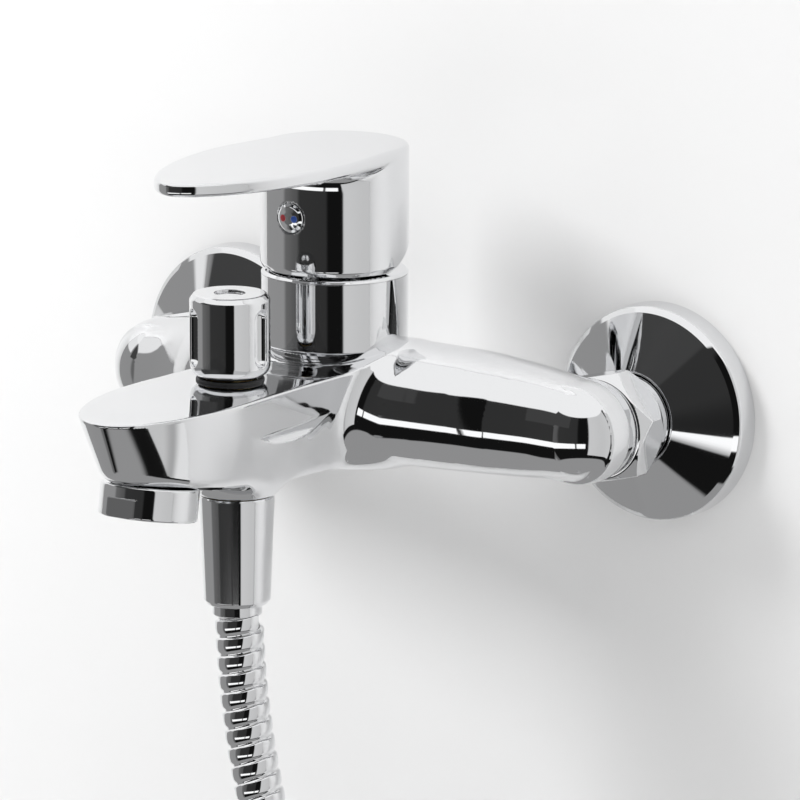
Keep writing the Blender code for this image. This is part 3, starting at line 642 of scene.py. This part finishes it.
def hose(look):
    """Flexible metal hose: one strip wound in a helix, each turn with a flat crown and a step."""
    line = np.array(hose_line())
    gaps = np.linalg.norm(np.diff(line, axis=0), axis=1)
    along = np.concatenate([[0.0], np.cumsum(gaps)])
    length = along[-1]
    tangent = np.gradient(line, along, axis=0)
    tangent /= np.linalg.norm(tangent, axis=1)[:, None]
    side = np.empty_like(line)
    side[0] = (1, 0, 0)
    for i in range(1, len(line)):
        kept = side[i - 1] - tangent[i] * side[i - 1].dot(tangent[i])
        side[i] = kept / np.linalg.norm(kept)
    crown = [(0.0, 6.05), (0.4, 6.05), (0.65, 6.75), (1.0, 6.95), (2.9, 6.95), (4.0, 6.8), (4.65, 6.5),
             (5.05, 6.1)]
    sides = 30
    turns = int((length - 0.6) / HOSE_PITCH)
    ring = np.arange(turns * sides)
    points = []
    for share, radius in crown:
        s = np.clip((ring / sides) * HOSE_PITCH + share + 0.1, 0.05, length - 0.05)
        centre = np.stack([np.interp(s, along, line[:, k]) for k in range(3)], 1)
        t = np.stack([np.interp(s, along, tangent[:, k]) for k in range(3)], 1)
        u = np.stack([np.interp(s, along, side[:, k]) for k in range(3)], 1)
        v = np.cross(t, u)
        angle = 2 * math.pi * ring / sides
        points.append(centre + radius * (u * np.cos(angle)[:, None] + v * np.sin(angle)[:, None]))
    points = np.stack(points, 1).reshape(-1, 3)
    count = len(crown)
    faces = []
    for i in range(len(ring) - 1):
        for j in range(count - 1):
            a = i * count + j
            faces.append((a, a + 1, a + 1 + count, a + count))
        if i + sides + 1 < len(ring):
            a = i * count + count - 1
            b = (i + sides) * count
            faces.append((a, b, b + count, a + count))
    piece = add_mesh("hose", points, faces, look, "mixer", ["shower_hose", "hose_coil", "hose_tail"])
    piece.data.set_sharp_from_angle(angle=math.radians(50))
    piece.visible_glossy = False
    frame["nodes"]["hose_tie"].visible_glossy = False


# ---------------------------------------------------------------- body casting


def arm_shape(x, y, z):
    """Both arms: a round section that follows a curved line and ends in a dome."""
    stations = np.array(smooth_table(ARM))
    reach = np.abs(x)
    held = np.minimum(reach, ARM[-1][0])
    middle_y = np.interp(held, stations[:, 0], stations[:, 1])
    middle_z = np.interp(held, stations[:, 0], stations[:, 2])
    radius = np.interp(held, stations[:, 0], stations[:, 3])
    slope = np.interp(held, stations[:, 0], np.gradient(stations[:, 1], stations[:, 0]))
    lean = 1 / np.sqrt(1 + slope * slope)
    past = np.maximum(reach - ARM[-1][0], 0.0)
    return np.sqrt(past ** 2 + ((y - middle_y) * lean) ** 2 + (z - middle_z) ** 2) - radius


def smooth_table(rows):
    """Rows joined by a smooth curve, finely spaced along their first column."""
    rows = np.array(rows)
    firsts = np.linspace(rows[0, 0], rows[-1, 0], 150)
    slopes = np.gradient(rows, rows[:, 0], axis=0)
    out = []
    for first in firsts:
        i = min(np.searchsorted(rows[:, 0], first, "right") - 1, len(rows) - 2)
        gap = rows[i + 1, 0] - rows[i, 0]
        t = (first - rows[i, 0]) / gap
        a = 2 * t ** 3 - 3 * t ** 2 + 1
        b = t ** 3 - 2 * t ** 2 + t
        c = -2 * t ** 3 + 3 * t ** 2
        d = t ** 3 - t ** 2
        out.append(a * rows[i] + b * gap * slopes[i] + c * rows[i + 1] + d * gap * slopes[i + 1])
    return out


def spout_shape(x, y, z):
    """Spout: level top with a crisp edge, a leaning oval nose and boat-like flanks."""
    ahead = np.maximum(SPOUT_WIDEST_Y - y, 0.0)
    nose = SPOUT_WIDEST_Y - SPOUT_TIP_Y
    narrowing = eased((y - SPOUT_WIDEST_Y) / 35.0)
    half = SPOUT_HALF_WIDTH + (SPOUT_ROOT_HALF_WIDTH - SPOUT_HALF_WIDTH) * narrowing
    k = np.sqrt((x / half) ** 2 + (ahead / nose) ** 2)
    steep = np.sqrt((x / half ** 2) ** 2 + (ahead / nose ** 2) ** 2) + 1e-6
    outline = k * (k - 1) / steep
    pointing = (ahead / nose ** 2) / steep
    droop = np.clip((-110.0 - y) / (-110.0 - SPOUT_TIP_Y), 0.0, 1.2)
    crown = SPOUT_CROWN * np.maximum(1 - k * k, 0.0) * eased((-84.0 - y) / 14.0)
    top = SPOUT_TOP_Z - SPOUT_DROOP * droop ** 2 + crown
    depth = np.maximum(top - z, 0.0)
    inset_side = 0.12 * depth + 0.0045 * depth ** 2
    inset = inset_side + (0.42 * depth - inset_side) * pointing
    front_y, front_z = UNDERSIDE_FRONT
    bottom = join_level(front_z - UNDERSIDE_SLOPE * (y - front_y), UNDERSIDE_LOW_Z)
    hull = meet((outline + inset) / 1.06, z - top, 0.9)
    hull = meet(hull, bottom - z, 4.0)
    return np.maximum(hull, y - TOWER_Y)


def join_level(a, level):
    """a, held above a level with a soft bend."""
    h = np.maximum(6.0 - np.abs(a - level), 0.0)
    return np.maximum(a, level) + h * h / 24.0


def outlet_shape(x, y, z):
    """Boss over the shower outlet, flaring up into the spout."""
    away = np.sqrt(x ** 2 + (y - OUTLET_Y) ** 2)
    cone = (away - 11.2 - 0.49 * (z - OUTLET_Z)) / 1.11
    return meet(meet(cone, OUTLET_Z - z, 0.8), z - 2.0, 0.5)


def body_shape(x, y, z):
    """Casting: tower collar, spout, outlet boss and arms, with its inlets and cartridge bore."""
    away = np.sqrt(x ** 2 + (y - TOWER_Y) ** 2)
    collar = meet(away - (TOWER_R - 0.4), z - GROOVE_Z[0], 0.8)
    collar = meet(collar, UNDERSIDE_LOW_Z - z, 9.0)
    front = join(spout_shape(x, y, z), collar, 1.5)
    front = join(front, outlet_shape(x, y, z), 5.0)
    whole = join(front, arm_shape(x, y, z), 9.0)
    off = np.sqrt((np.abs(x) - INLET_X) ** 2 + z ** 2)
    neck = meet(off - 13.4, np.maximum(y - INLET_FACE_Y, -45.0 - y), 0.8)
    whole = join(whole, neck, 3.0)
    whole = meet(whole, -np.maximum(off - 19.5, INLET_FACE_Y - y), 0.6)
    whole = meet(whole, -np.maximum(off - 8.5, -44.0 - y), 0.4)
    return meet(whole, -meet(away - BORE_R, SEAT_Z - z, 0.5), 0.4)


def body(look):
    """Casting, the tower's turned sleeve and the cover ring on top."""
    low = (-91.0, SPOUT_TIP_Y - 1, -17.0)
    high = (91.0, -24.0, 27.0)
    modelled("body", body_shape, low, high, 0.6, look, "mixer", ["body_casting"])
    sleeve = [(BORE_R, 16.9, 0), (19.7, 16.9, 0), (19.7, GROOVE_Z[1] - 0.1, 0), (TOWER_R - 1.1, 20.0, 0.2),
              (TOWER_R, 21.1, 0.4), (TOWER_R, TOWER_TOP_Z, 0.05), (18.9, TOWER_TOP_Z, 0), (18.9, 35, 0),
              (BORE_R, 35, 0)]
    turned("tower_sleeve", sleeve, look, "mixer", [], (0, TOWER_Y, 0))
    cover = [(19.4, 40.75, 0), (TOWER_R, 40.75, 0.05), (TOWER_R, 41.0, 0.2), (TOWER_R - 0.8, 41.8, 0.4),
             (18.2, 42.3, 1.0), (15.4, 42.6, 0.2), (15.4, 41.3, 0.2), (18.0, 41.0, 0)]
    turned("tower_cover", cover, look, "mixer", ["cover_ring"], (0, TOWER_Y, 0))


# ---------------------------------------------------------------- handle


def lever_outline(x, y):
    """Distance outside the lever's teardrop plan."""
    ahead = np.maximum(LEVER_WIDEST_Y - y, 0.0)
    nose = LEVER_WIDEST_Y - LEVER_TIP_Y
    power = 1.75
    half = HANDLE_R + (LEVER_HALF_WIDTH - HANDLE_R) * eased((TOWER_Y - y) / (TOWER_Y - LEVER_WIDEST_Y))
    across = np.abs(x) / half + 1e-9
    forward = ahead / nose + 1e-9
    k = (across ** power + forward ** power) ** (1 / power)
    steep = k ** (1 - power) * np.sqrt((across ** (power - 1) / half) ** 2
                                       + (forward ** (power - 1) / nose) ** 2)
    front = (k - 1) / np.maximum(steep, 1e-6)
    back = np.sqrt(x ** 2 + (y - TOWER_Y) ** 2) - HANDLE_R
    return np.where(y > TOWER_Y, back, front)


def handle_shape(x, y, z):
    """Paddle on a skirt that is chamfered below, relieved behind and hollow."""
    outline = lever_outline(x, y)
    plate = meet(outline, HANDLE_TOP_Z - 3.9 - z, 1.6)
    away = np.sqrt(x ** 2 + (y - TOWER_Y) ** 2)
    chamfer = (away - HANDLE_R + 0.8 - 0.53 * (z - HANDLE_BOTTOM_Z)) / 1.13
    skirt = meet(away - HANDLE_R, chamfer, 0.2)
    skirt = meet(skirt, HANDLE_BOTTOM_Z - z, 0.3)
    fillet = 0.05 + 7.0 * eased((-58.0 - y) / 16.0)
    whole = meet(join(plate, skirt, fillet), z - HANDLE_TOP_Z, 1.6)
    relief = (z - HANDLE_BOTTOM_Z - 0.9 - 0.5 * (y - TOWER_Y)) / 1.12
    whole = meet(whole, -meet(relief, TOWER_Y - 1.5 - y, 1.0), 0.4)
    whole = meet(whole, -meet(away - 18.8, z - 68.0, 2.0), 0.3)
    plug_away = np.sqrt(x ** 2 + (z - PLUG_Z) ** 2)
    return meet(whole, -np.maximum(plug_away - 4.55, y - (TOWER_Y - 19.5)), 0.3)


def handle(look):
    """Lever handle and the indicator plug in its front."""
    low = (-25.0, LEVER_TIP_Y - 1, HANDLE_BOTTOM_Z - 1)
    high = (25.0, TOWER_Y + HANDLE_R + 1, HANDLE_TOP_Z + 1)
    modelled("lever_handle", handle_shape, low, high, 0.45, look, "lever", ["handle"])
    plug = [(0, 18.8), (4.3, 18.8, 0), (4.3, 21.1, 0.4), (3.4, 21.75, 1.5), (1.8, 22.1, 1.5), (0, 22.2, 0)]
    turned("indicator_plug", plug, indicator_material(), "lever", ["temperature_indicator"],
           (0, TOWER_Y, PLUG_Z), (0, -1, 0), segments=64)


# ---------------------------------------------------------------- knob


def knob_shape(x, y, z):
    """Knob with a rounded foot, a dished top and three flutes."""
    away = np.sqrt(x ** 2 + (y - KNOB_Y) ** 2)
    low, high = KNOB_Z
    barrel = meet(away - KNOB_R, (away - KNOB_R + 0.75 * (z - high + 1.6)) / 1.25, 0.3)
    barrel = meet(barrel, z - high, 0.3)
    barrel = meet(barrel, low - z, 4.4)
    dish = high - 0.9 + 0.4 * np.maximum(1 - (away / 4.4) ** 2, 0.0)
    barrel = meet(barrel, -np.maximum(away - 4.4, dish - z), 0.25)
    for k in range(3):
        angle = math.radians(120 * k)
        at_x, at_y = 11.4 * math.cos(angle), KNOB_Y + 11.4 * math.sin(angle)
        up = z - np.clip(z, 25.1, 35.9)
        flute = np.sqrt((x - at_x) ** 2 + (y - at_y) ** 2 + up ** 2) - 2.8
        barrel = meet(barrel, -flute, 0.35)
    return meet(barrel, -np.maximum(away - 8.3, z - 31.0), 0.3)


def knob(look, rubber, brass):
    """Pull knob, the O-ring under it and the stem through it."""
    low = (-KNOB_R - 1, KNOB_Y - KNOB_R - 1, KNOB_Z[0] - 1)
    high = (KNOB_R + 1, KNOB_Y + KNOB_R + 1, KNOB_Z[1] + 1)
    modelled("pull_knob", knob_shape, low, high, 0.28, look, "diverter", ["diverter_knob"])
    ring = [(8.3, 17.2, 0.66), (9.7, 17.2, 0.66), (9.7, 18.6, 0.66), (8.3, 18.6, 0.66)]
    turned("knob_o_ring", ring, rubber, "mixer", ["diverter_o_ring"], (0, KNOB_Y, 0))
    stem = [(0, -9.4), (2.2, -9.4), (2.2, -7.8), (6.6, -7.8), (6.6, -5.6), (2.6, -5.6), (2.6, 12.4),
            (1.9, 12.4), (1.9, 14.0), (2.6, 14.0), (2.6, 32.0), (2.9, 32.0), (2.9, 39.0), (0, 39.0)]
    turned("pull_stem", [(r, z, 0.15) for r, z in stem], brass, "diverter", ["diverter_stem"],
           (0, KNOB_Y, 0), segments=48)


# ---------------------------------------------------------------- aerator


def aerator_shape(x, y, z):
    """Housing in its own axes: x and y across, z down along its axis."""
    away = np.sqrt(x ** 2 + y ** 2)
    shell = meet(away - AERATOR_R, np.maximum(-0.6 - z, z - AERATOR_LENGTH), 0.9)
    shell = meet(shell, -np.maximum(12.9 - np.abs(y), 3.2 - z), 0.3)
    return meet(shell, -np.maximum(away - 10.4, 5.4 - z), 0.4)


def aerator(look):
    """Aerator housing, tilted forward under the spout."""
    points, faces, normals = surface_of(aerator_shape, (-14.5, -14.5, -1.5), (14.5, 14.5, 9.5), 0.3)
    c, s = math.cos(AERATOR_TILT), math.sin(AERATOR_TILT)
    turn = np.array([(1, 0, 0), (0, -c, -s), (0, s, -c)])
    points = points @ turn.T + np.array(AERATOR_POINT)
    add_mesh("aerator_shell", points, faces, look, "mixer", ["aerator_housing"], normals @ turn.T)


# ---------------------------------------------------------------- unions and escutcheons


def nut_shape(x, y, z):
    """Hexagon nut along y, chamfered at both ends."""
    away = np.sqrt(x ** 2 + z ** 2)
    hexagon = -1e9
    for k in range(3):
        angle = math.radians(43 + 60 * k)
        hexagon = np.maximum(hexagon, np.abs(x * math.cos(angle) + z * math.sin(angle)) - 15.0)
    front = (away - 14.4 - 0.95 * (y + 33.5)) / 1.38
    back = (away - 15.6 + 0.6 * (y + 23.0)) / 1.17
    shape = meet(meet(hexagon, front, 0.25), back, 0.25)
    shape = meet(shape, np.maximum(-33.6 - y, y + 22.2), 0.4)
    return meet(shape, -(away - 9.9), 0.3)


def union(side, look):
    """Union nut, eccentric union and escutcheon of one inlet."""
    name = "right" if side > 0 else "left"
    at = np.array((side * INLET_X, 0.0, 0.0))
    points, faces, normals = surface_of(nut_shape, (-18.5, -34.5, -18.5), (18.5, -21.0, 18.5), 0.35)
    add_mesh(name + "_hex_nut", points + at, faces, look, "mixer", [name + "_union_nut"], normals)
    rim = 31.6
    bell = [(rim - 1.2, -0.05, 0), (rim, -0.05, 0.3), (rim - 0.45, -6.6, 1.3), (rim - 2.2, -7.9, 1.2),
            (14.0, -16.5, 0.5), (13.5, -16.5, 0.1), (13.5, -14.8, 0.2), (rim - 2.6, -6.5, 1.0),
            (rim - 1.7, -5.6, 0.8)]
    turned(name + "_wall_flange", bell, look, "mixer", [name + "_escutcheon"], tuple(at), (0, 1, 0),
           segments=160)
    drop = 4.0 * side
    line = [(0.0, -27.0, 13.2), (0.0, -10.0, 13.2), (0.0, -9.0, 13.1), (0.15, -6.5, 12.4),
            (0.5, -4.0, 11.4), (0.8, -1.5, 10.6), (1.0, 1.0, 10.2), (1.0, 15.6, 10.2), (1.0, 16.0, 9.8),
            (1.0, 16.0, 7.4), (1.0, 1.0, 7.4), (0.5, -4.0, 8.0), (0.0, -10.0, 8.6), (0.0, -27.0, 8.8)]
    points = []
    segments = 64
    for share, y, radius in line:
        for k in range(segments):
            angle = 2 * math.pi * k / segments
            points.append((at[0] + drop * share + radius * math.cos(angle), y, radius * math.sin(angle)))
    faces = []
    for i in range(len(line)):
        j = (i + 1) % len(line)
        for k in range(segments):
            m = (k + 1) % segments
            faces.append((i * segments + k, j * segments + k, j * segments + m, i * segments + m))
    piece = add_mesh(name + "_offset_union", points, faces, look, "mixer", [name + "_eccentric_union"])
    piece.data.set_sharp_from_angle(angle=math.radians(35))


def cone_nut(name, node, look, centre, direction, start):
    """Conical hose nut and the collar that shows past its end."""
    profile = [(9.9, start + 0.3, 0), (10.5, start + 0.3, 0.15), (10.75, start + 0.8, 0.3),
               (9.55, start + 30.6, 0.8), (8.7, start + 31.8, 0.7), (7.3, start + 32.0, 0.2),
               (7.3, start + 15.0, 0), (9.9, start + 15.0, 0)]
    turned(name, profile, look, "mixer", [node], centre, direction, segments=96)
    collar = [(4.2, start + 10.9), (9.3, start + 10.9), (9.3, start + 14.6), (7.05, start + 14.6),
              (7.05, start + 35.0), (4.2, start + 35.0)]
    turned(name + "_collar", collar, look, "mixer", [node.replace("nut", "ferrule")], centre, direction)


# ---------------------------------------------------------------- what stays from the frame


def dress_frame(looks):
    """Gives each CAD node that still shows a finished material."""
    slots = {part["node"]: part["material_slot"] for part in frame["record"]["subparts"]}
    for name, thing in frame["nodes"].items():
        thing.data.materials.clear()
        thing.data.materials.append(looks[slots[name]])


camera()
studio()
room()
lamp("key", -42, 38, 1.8, 0.7, 22.5)
lamp("fill", 40, 25, 2.2, 1.8, 8.5)
bpy.context.scene.view_settings.view_transform = "Standard"

CHROME = chrome("chrome_plate")
BRASS = machined("brass", (0.75, 0.58, 0.30), 0.28)
RUBBER = moulded("black_rubber", (0.012, 0.012, 0.013), 0.5)
dress_frame({
    "chrome_plate": CHROME, "brass": BRASS,
    "stainless_steel": machined("stainless_steel", (0.62, 0.62, 0.64), 0.22),
    "white_plastic": moulded("white_plastic", (0.82, 0.82, 0.80), 0.4),
    "grey_plastic": moulded("grey_plastic", (0.30, 0.31, 0.33), 0.45),
    "ceramic": moulded("ceramic", (0.90, 0.89, 0.86), 0.12, 3000.0, 0.03),
    "black_rubber": RUBBER, "chrome_hose": CHROME,
    "tie_strap": moulded("tie_strap", (0.85, 0.85, 0.84), 0.4)})
cone_nut("hose_end_cone_nut", "hose_end_nut", CHROME, tuple(hose_line()[-1]), (0, 0, 1), -34.5)
hose(CHROME)
cone_nut("hose_cone_nut", "hose_nut", CHROME, (0, OUTLET_Y, 0), (0, 0, -1), 15.4)
body(CHROME)
handle(CHROME)
knob(CHROME, RUBBER, BRASS)
aerator(CHROME)
union(-1, CHROME)
union(1, CHROME)
